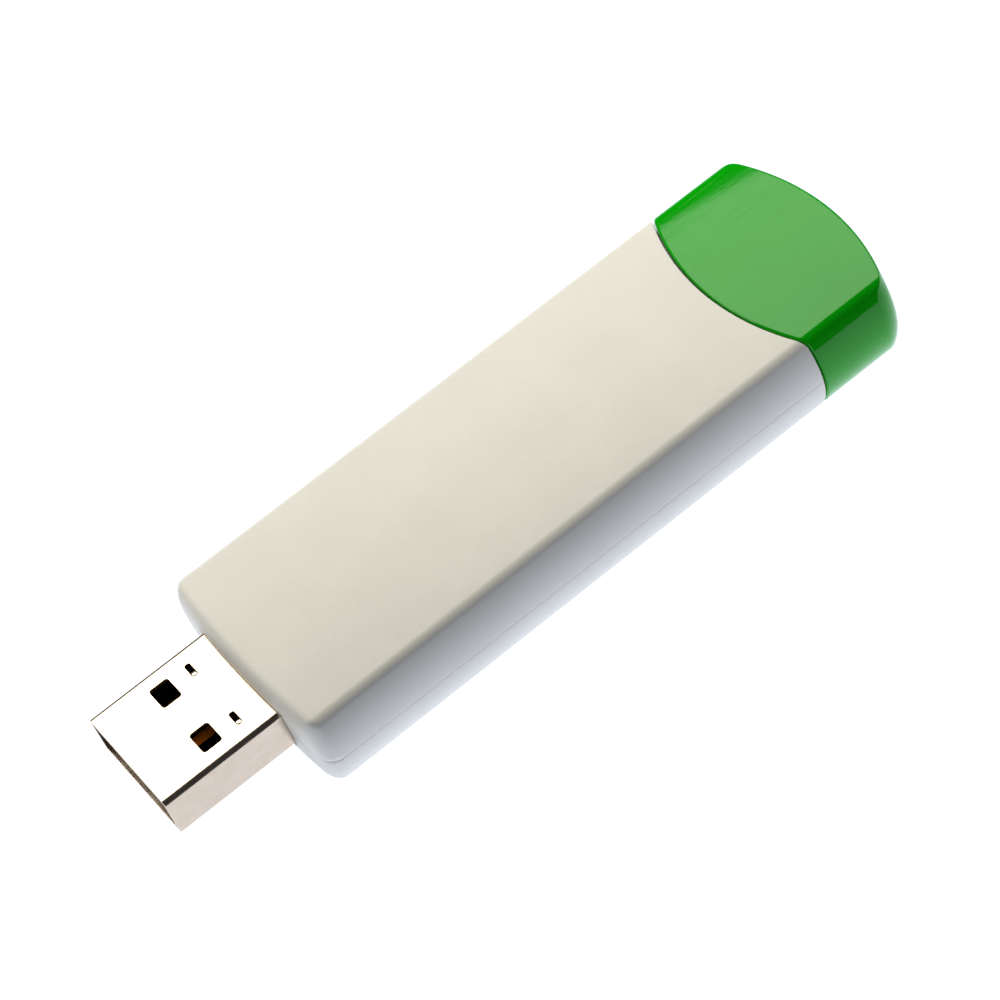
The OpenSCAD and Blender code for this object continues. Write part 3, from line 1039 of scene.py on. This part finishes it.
@dataclass
class EndCap:
    """The green cap: a hollow end with a domed rear, pulled off along X."""

    form: CaseForm
    workshop: Workshop
    gap: float = 0.2
    wall: float = 1.0
    lip_edge: float = 0.22
    inner_lip_edge: float = 0.15
    corner_steps: int = 10
    rear_steps: int = 8
    middle_share: float = 0.93

    def build(self) -> Piece:
        """Builds the cap.

        Returns:
            The piece.
        """
        form = self.form
        inside = form.half_arch(self.wall)
        outside = form.half_arch()
        inner_end = self._end(inside, self.wall)
        outer_end = self._end(outside, 0.0)
        rings = list(reversed(inner_end))
        lip = len(rings)
        rings += [
            form.loop(inside, lambda y, z, side: form.seam(y) + self.gap),
            form.loop(outside, lambda y, z, side: form.seam(y) + self.gap),
        ]
        rings += outer_end
        skin = draw_skin(rings, wrapped=True)
        close_holes(skin)
        layer = skin.verts.layers.int["ring"]
        outer = [e for e in skin.edges if all(v[layer] == lip + 1 for v in e.verts)]
        round_edges(skin, outer, self.lip_edge, 5)
        inner = [e for e in skin.edges if all(v[layer] == lip for v in e.verts) and crisp(e)]
        round_edges(skin, inner, self.inner_lip_edge, 2)
        keep_below(skin, form.half_height)
        piece = self.workshop.object_of("end_cap_moulding", skin)
        return self.workshop.finish(piece, GREEN_ABS, Body.CAP, ["end_cap"])

    def _end(self, half: HalfArch, inset: float) -> list[Ring]:
        """Rings from the side walls round the rear corners and over the domed end to its middle line.

        Args:
            half: the half arch of the walls.
            inset: how far the surface lies inside the cap's outside.

        Returns:
            The rings, from the walls to the middle line.
        """
        form = self.form
        corner_depth, corner_width = self._corner(inset)
        rings = []
        for turn in steps(0, math.pi / 2, self.corner_steps):
            drawn_in = 1 - math.cos(turn)
            back = 1 - math.sin(turn)
            rings.append(
                form.loop(
                    form.scaled(half, corner_width * drawn_in, form.rear_edge * drawn_in),
                    lambda y, z, side, back=back: form.rear(y, z)
                    - inset
                    - back * (form.rear_edge + (corner_depth - form.rear_edge) * side),
                )
            )
        rim = form.scaled(half, corner_width, form.rear_edge)
        widest = rim[0][0] * self.middle_share
        middle = [(widest * (1 - i / form.half_steps), 0.0, 0.0) for i in range(form.half_steps + 1)]
        for share in steps(0, 1, self.rear_steps)[1:]:
            rings.append(form.loop(mixed(rim, middle, share), lambda y, z, side: form.rear(y, z) - inset))
        return rings

    def _corner(self, inset: float) -> tuple[float, float]:
        """Depth along X and width along Y of the rounded rear corners in plan."""
        form = self.form
        corner = max(form.rear_corner - inset, form.least_radius)
        inner = form.half_width - inset - corner
        reach = math.sqrt((form.rear_radius - inset - corner) ** 2 - inner**2)
        across = form.half_width - inset
        depth = math.sqrt((form.rear_radius - inset) ** 2 - across**2) - reach
        width = across - (form.rear_radius - inset) * math.sin(math.atan2(inner, reach))
        return depth, width


@dataclass
class UsbPlug:
    """The USB plug: a bent sheet-metal shell round a black insulator with four gold contacts."""

    workshop: Workshop
    tip: float
    rear: float
    half_height: float
    contacts: Sequence[str]
    half_width: float = 6.0
    sheet: float = 0.3
    corner: float = 0.53
    tip_edge: float = 0.06
    tip_slope: float = 0.35
    window: tuple[float, float] = (1.9, 2.4)
    window_at: tuple[float, float] = (6.1, 3.1)
    window_corner: float = 0.28
    slot: tuple[float, float] = (0.55, 1.5)
    slot_at: tuple[float, float] = (8.95, 3.4)
    slot_corner: float = 0.2
    slot_foot: float = 0.5
    cut_past: float = 1.0
    tab_length: float = 0.52
    tab_drop: float = 0.05
    tab_clear: float = 0.07
    tab_sheet: float = 0.8
    corner_steps: int = 8
    tongue_length: float = 9.2
    tongue_side: float = 0.15
    tongue_nose: float = 0.25
    tongue_below: float = 0.05
    block_overlap: float = 0.05
    channel_clear: float = 0.05
    channel_past: float = 2.0
    rear_edge: float = 0.15
    contact_nose: float = 0.2

    def build(self) -> list[Piece]:
        """Builds the shell, the insulator and the contacts.

        Returns:
            The pieces.
        """
        return [self._shell(), self._insulator(), *[self._contact(name) for name in self.contacts]]

    def _section(self, x: float, inset: float) -> Ring:
        """The shell's rounded rectangle at x, pulled in by inset."""
        radius = self.corner - inset
        across = self.half_width - inset - radius
        up = self.half_height - inset - radius
        ring = []
        for turn, side_y, side_z in ((0, 1, 1), (90, -1, 1), (180, -1, -1), (270, 1, -1)):
            for angle in steps(turn, turn + 90, self.corner_steps):
                a = math.radians(angle)
                ring.append(
                    Vector((x, side_y * across + radius * math.cos(a), side_z * up + radius * math.sin(a)))
                )
        return ring

    def _shell(self) -> Piece:
        """Draws the sheet-metal shell, cuts its windows and slots, and adds its latch tabs."""
        eased = self.tip_edge * self.tip_slope
        rings = [
            self._section(self.rear, self.sheet),
            self._section(self.tip, self.sheet),
            self._section(self.tip, self.tip_edge),
            self._section(self.tip + eased, eased),
            self._section(self.tip + self.tip_edge, 0),
            self._section(self.rear, 0),
            self._section(self.rear, self.sheet),
        ]
        skin = draw_skin(rings, wrapped=True)
        bmesh.ops.recalc_face_normals(skin, faces=skin.faces)
        piece = self.workshop.object_of("usb_plug_shell_stamping", skin)
        self.workshop.carve(piece, self._cutter())
        self._add_tabs(piece)
        return self.workshop.finish(piece, NICKEL, Body.CASE, ["usb_plug_shell"], edge=0.03, sharp=40)

    def _add_tabs(self, piece: Piece) -> None:
        """Adds the latch tab that is bent down a little at one end of each slot."""
        skin = bmesh.new()
        skin.from_mesh(piece.data)
        length, width = self.slot
        top = self.half_height - self.tab_drop
        foot = top - self.sheet * self.tab_sheet
        for side in (-1, 1):
            x, y = self.tip + self.slot_at[0], side * self.slot_at[1] - width / 2
            low = Vector((x - length / 2 + self.tab_clear, y + self.tab_clear, foot))
            high = Vector((x + length / 2 - self.tab_clear, y + self.tab_length, top))
            add_block(skin, low, high)
        skin.to_mesh(piece.data)
        skin.free()

    def _cutter(self) -> Skin:
        """The windows and slots, as rounded prisms right through the sheet."""
        cutter = bmesh.new()
        top = self.half_height + self.cut_past
        for side in (-1, 1):
            length, width = self.window
            x, y = self.tip + self.window_at[0], side * self.window_at[1]
            self._prism(cutter, (x, y), (length, width), (-top, top), self.window_corner)
            length, width = self.slot
            x, y = self.tip + self.slot_at[0], side * self.slot_at[1]
            self._prism(cutter, (x, y), (length, width), (self.slot_foot, top), self.slot_corner)
        return cutter

    def _prism(
        self,
        cutter: Skin,
        at: tuple[float, float],
        size: tuple[float, float],
        heights: tuple[float, float],
        corner: float,
    ) -> None:
        """Adds an upright prism with rounded corners.

        Args:
            cutter: the mesh that it joins.
            at: X and Y of its middle.
            size: its size along X and Y.
            heights: Z of its foot and top.
            corner: radius of its upright edges.
        """
        reach = Vector((size[0] / 2, size[1] / 2))
        low = Vector((at[0] - reach.x, at[1] - reach.y, heights[0]))
        high = Vector((at[0] + reach.x, at[1] + reach.y, heights[1]))
        verts = add_block(cutter, low, high)
        upright = [e for e in edges_of(verts) if abs(e.verts[0].co.z - e.verts[1].co.z) > 0.5]
        round_edges(cutter, upright, corner, 5)

    def _insulator(self) -> Piece:
        """Builds the black tongue, its rear block and the channels that the contacts lie in."""
        low, high = case_box(self.workshop, "usb_plug_insulator")
        _, contact_high = case_box(self.workshop, self.contacts[0])
        tongue_top = contact_high.z - self.tongue_below
        split = self.tip + self.tongue_length
        skin = bmesh.new()
        tongue = add_block(
            skin,
            Vector((low.x, low.y + self.tongue_side, low.z)),
            Vector((split, high.y - self.tongue_side, tongue_top)),
        )
        front = [e for e in edges_of(tongue) if all(v.co.x < low.x + NEAR for v in e.verts)]
        round_edges(skin, front, self.tongue_nose, 3)
        rear = add_block(skin, Vector((split - self.block_overlap, low.y, low.z)), high)
        round_edges(skin, edges_of(rear), self.rear_edge, 2)
        bmesh.ops.recalc_face_normals(skin, faces=skin.faces)
        piece = self.workshop.object_of("usb_plug_insulator_moulding", skin)
        channels = bmesh.new()
        for name in self.contacts:
            place_low, place_high = case_box(self.workshop, name)
            clear = self.channel_clear
            add_block(
                channels,
                Vector((place_low.x - clear, place_low.y - clear, place_low.z)),
                Vector((place_high.x + self.channel_past, place_high.y + clear, place_high.z + clear)),
            )
        self.workshop.carve(piece, channels)
        return self.workshop.finish(
            piece, BLACK_LCP, Body.CASE, ["usb_plug_insulator"], edge=0.02, sharp=40
        )

    def _contact(self, node: str) -> Piece:
        """Builds a contact: a flat strip whose front end turns down into the tongue."""
        low, high = case_box(self.workshop, node)
        skin = bmesh.new()
        verts = add_block(skin, low, high)
        tip = [e for e in edges_of(verts) if all(v.co.x < low.x + NEAR for v in e.verts)]
        nose = [e for e in tip if all(v.co.z > high.z - NEAR for v in e.verts)]
        round_edges(skin, nose, self.contact_nose, 4)
        skin.edges.index_update()
        piece = self.workshop.object_of(node + "_strip", skin)
        return self.workshop.finish(piece, GOLD, Body.CASE, [node], edge=0.03, sharp=40)


def case_box(workshop: Workshop, node: str) -> tuple[Vector, Vector]:
    """A CAD node's lowest and highest corner in the case's millimetres.

    Args:
        workshop: the workshop that knows where the case's millimetres start.
        node: the CAD node.

    Returns:
        The two corners.
    """
    start = Vector((workshop.front, 0, workshop.parting))
    low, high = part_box(node)
    return (low - start) / MM, (high - start) / MM


@dataclass
class TargetHeader:
    """The straight pin header under the cap: a notched black strip and square gold pins with pointed ends."""

    workshop: Workshop
    pins: Sequence[str]
    notch: float = 0.3
    point: float = 0.2

    def build(self) -> list[Piece]:
        """Builds the strip and the pins.

        Returns:
            The pieces.
        """
        return [self._strip(), *[self._pin(node) for node in self.pins]]

    def _strip(self) -> Piece:
        """Builds the strip, one notched cell for each pin."""
        low, high = case_box(self.workshop, "header_body")
        pitch = (high.y - low.y) / len(self.pins)
        skin = bmesh.new()
        for i in range(len(self.pins)):
            cell_low = Vector((low.x, low.y + i * pitch, low.z))
            cell_high = Vector((high.x, low.y + (i + 1) * pitch, high.z))
            cell = add_block(skin, cell_low, cell_high)
            along = [e for e in edges_of(cell) if abs(e.verts[0].co.x - e.verts[1].co.x) > 1]
            round_edges(skin, along, self.notch, 1)
        bmesh.ops.remove_doubles(skin, verts=skin.verts, dist=2 * WELD)
        across = [f for f in skin.faces if abs(f.normal.y) > 0.99]
        inner = [f for f in across if low.y + 0.1 < f.calc_center_median().y < high.y - 0.1]
        bmesh.ops.delete(skin, geom=inner, context="FACES_ONLY")
        bmesh.ops.recalc_face_normals(skin, faces=skin.faces)
        piece = self.workshop.object_of("header_strip", skin)
        return self.workshop.finish(piece, BLACK_LCP, Body.CASE, ["header_body"], edge=0.04, sharp=30)

    def _pin(self, node: str) -> Piece:
        """Builds a square pin with both ends pointed."""
        low, high = case_box(self.workshop, node)
        skin = bmesh.new()
        verts = add_block(skin, low, high)
        ends = [e for e in edges_of(verts) if abs(e.verts[0].co.x - e.verts[1].co.x) < NEAR]
        round_edges(skin, ends, self.point, 1)
        piece = self.workshop.object_of(node + "_pointed", skin)
        return self.workshop.finish(piece, GOLD, Body.CASE, [node], edge=0.025, sharp=20)


@dataclass
class BoardAssembly:
    """The circuit board and what is soldered to it, which keep their CAD shapes."""

    finishes: dict[str, Finish] = field(
        default_factory=lambda: {
            "circuit_board": BOARD,
            "main_microcontroller": BLACK_EPOXY,
            "main_microcontroller_leads": TINNED,
            "crystal": CRYSTAL_LID,
            "crystal_base": ALUMINA,
            "voltage_regulator": BLACK_EPOXY,
            "voltage_regulator_leads": TINNED,
            "level_shifter": BLACK_EPOXY,
            "level_shifter_leads": TINNED,
            "memory_chip": BLACK_EPOXY,
            "memory_chip_leads": TINNED,
            "surge_protector": BLACK_EPOXY,
            "surge_protector_leads": TINNED,
            "resettable_fuse": FUSE_BODY,
            "ferrite_bead": FERRITE,
            "tantalum_capacitor": TANTALUM,
            "ceramic_capacitors": CERAMIC_CHIP,
            "resistors": RESISTOR_CHIP,
            "power_led": GREEN_LENS,
            "activity_led": AMBER_LENS,
        }
    )

    def dress(self) -> None:
        """Gives each node of the board its finish."""
        for node, finish in self.finishes.items():
            finish.dress(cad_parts[node])
            LOG.info("%s: %s", node, finish.name)


# ---- Studio ----


@dataclass(frozen=True)
class Studio:
    """A pale lit table, a long softbox close above and behind, a dark surround, and the camera.

    Lengths and places are in millimetres.
    """

    azimuth: float = -18.907
    elevation: float = 50.097
    roll: float = -23.05
    distance: float = 292.24
    target: tuple[float, float, float] = (0.04, -0.56, 4.2)
    lens: float = 126.0
    softbox_at: tuple[float, float, float] = (9.9, 38.4, 64.2)
    softbox_away: tuple[float, float, float] = (0.132, 0.62, 0.769)
    softbox_along: tuple[float, float, float] = (0.984, -0.175, -0.028)
    softbox_size: tuple[float, float] = (260.0, 35.0)
    softbox_glow: float = 4.2
    softbox_colour: tuple[float, float, float] = (1.0, 0.97, 0.86)
    surround_glow: float = 0.05
    surround_colour: Colour = (0.92, 0.96, 1.0, 1.0)
    table_half: float = 3000.0
    table_clear: float = 0.05
    table_colour: str = "#606060"
    table_glow: float = 1.15
    table_glow_colour: Colour = (1.0, 1.07, 1.19, 1.0)

    def build(self) -> None:
        """Adds the floor, the lights, the world and the camera."""
        self._floor()
        self._lights()
        self._world()
        self._camera()
        bpy.context.scene.view_settings.view_transform = "Standard"

    def _floor(self) -> None:
        """Adds a large pale table top that glows from within, as a light table does."""
        skin = bmesh.new()
        bmesh.ops.create_grid(skin, x_segments=1, y_segments=1, size=self.table_half * MM)
        mesh = bpy.data.meshes.new("table")
        skin.to_mesh(mesh)
        skin.free()
        table = bpy.data.objects.new("table", mesh)
        bpy.context.scene.collection.objects.link(table)
        mesh.transform(Matrix.Translation((0, 0, CAD_BOX[0].z - self.table_clear * MM)))
        material = bpy.data.materials.new("lit_white_acrylic")
        material.use_nodes = True
        tree = material.node_tree
        tree.nodes.clear()
        shader = add_node(
            tree,
            "ShaderNodeBsdfPrincipled",
            {
                "Base Color": linear(self.table_colour),
                "Roughness": 0.6,
                "Emission Color": self.table_glow_colour,
                "Emission Strength": self.table_glow,
            },
        )
        add_node(tree, "ShaderNodeOutputMaterial", {"Surface": shader.outputs[0]})
        mesh.materials.append(material)

    def _lights(self) -> None:
        """Adds the warm softbox, long and close, overhead and behind."""
        light = bpy.data.lights.new("overhead_softbox", "AREA")
        light.shape = "RECTANGLE"
        light.size, light.size_y = (length * MM for length in self.softbox_size)
        light.color = self.softbox_colour
        light.energy = self.softbox_glow * math.pi * light.size * light.size_y
        lamp = bpy.data.objects.new("overhead_softbox", light)
        bpy.context.scene.collection.objects.link(lamp)
        away = Vector(self.softbox_away).normalized()
        across = away.cross(Vector(self.softbox_along)).normalized()
        turned = Matrix((across.cross(away), across, away)).transposed().to_4x4()
        lamp.matrix_world = Matrix.Translation(Vector(self.softbox_at) * MM) @ turned
        lamp.visible_camera = False

    def _world(self) -> None:
        """Adds an even, dark surround."""
        world = bpy.data.worlds.new("surround")
        world.use_nodes = True
        tree = world.node_tree
        tree.nodes.clear()
        glow = add_node(
            tree, "ShaderNodeBackground", {"Color": self.surround_colour, "Strength": self.surround_glow}
        )
        add_node(tree, "ShaderNodeOutputWorld", {"Surface": glow.outputs[0]})
        bpy.context.scene.world = world

    def _camera(self) -> None:
        """Adds the camera, aimed at its target and rolled about its axis."""
        lens = bpy.data.cameras.new("camera")
        lens.lens = self.lens
        lens.sensor_width = 36.0
        lens.clip_start = 0.005
        camera = bpy.data.objects.new("camera", lens)
        bpy.context.scene.collection.objects.link(camera)
        azimuth, elevation = math.radians(self.azimuth), math.radians(self.elevation)
        ahead = Vector(
            (
                -math.sin(azimuth) * math.cos(elevation),
                math.cos(azimuth) * math.cos(elevation),
                -math.sin(elevation),
            )
        )
        rolled = Matrix.Rotation(math.radians(self.roll), 4, "Z")
        turned = ahead.to_track_quat("-Z", "Y").to_matrix().to_4x4() @ rolled
        place = Matrix.Translation((Vector(self.target) - ahead * self.distance) * MM)
        camera.matrix_world = place @ turned
        bpy.context.scene.camera = camera


def main() -> None:
    """Builds the programmer and the studio round it."""
    logging.basicConfig(level=logging.INFO, format="%(name)s: %(message)s")
    shell_low, shell_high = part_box("top_shell")
    bottom_low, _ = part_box("bottom_shell")
    _, cap_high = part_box("end_cap")
    parting = (bottom_low.z + shell_high.z) / 2
    workshop = Workshop(front=shell_low.x, parting=parting)
    form = CaseForm(
        length=(cap_high.x - shell_low.x) / MM,
        half_width=(shell_high.y - shell_low.y) / 2 / MM,
        half_height=(shell_high.z - parting) / MM,
    )
    neck_end = (shell_high.x - shell_low.x) / MM
    CaseShells(form, workshop, neck_end).build()
    EndCap(form, workshop).build()
    plug_low, plug_high = case_box(workshop, "usb_plug_shell")
    nodes = sorted(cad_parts)
    UsbPlug(
        workshop,
        tip=plug_low.x,
        rear=plug_high.x,
        half_height=plug_high.z,
        contacts=[node for node in nodes if node.startswith("usb_contact_")],
    ).build()
    TargetHeader(workshop, pins=[node for node in nodes if node.startswith("header_pin_")]).build()
    BoardAssembly().dress()
    Studio().build()


if __name__ == "__main__":
    main()
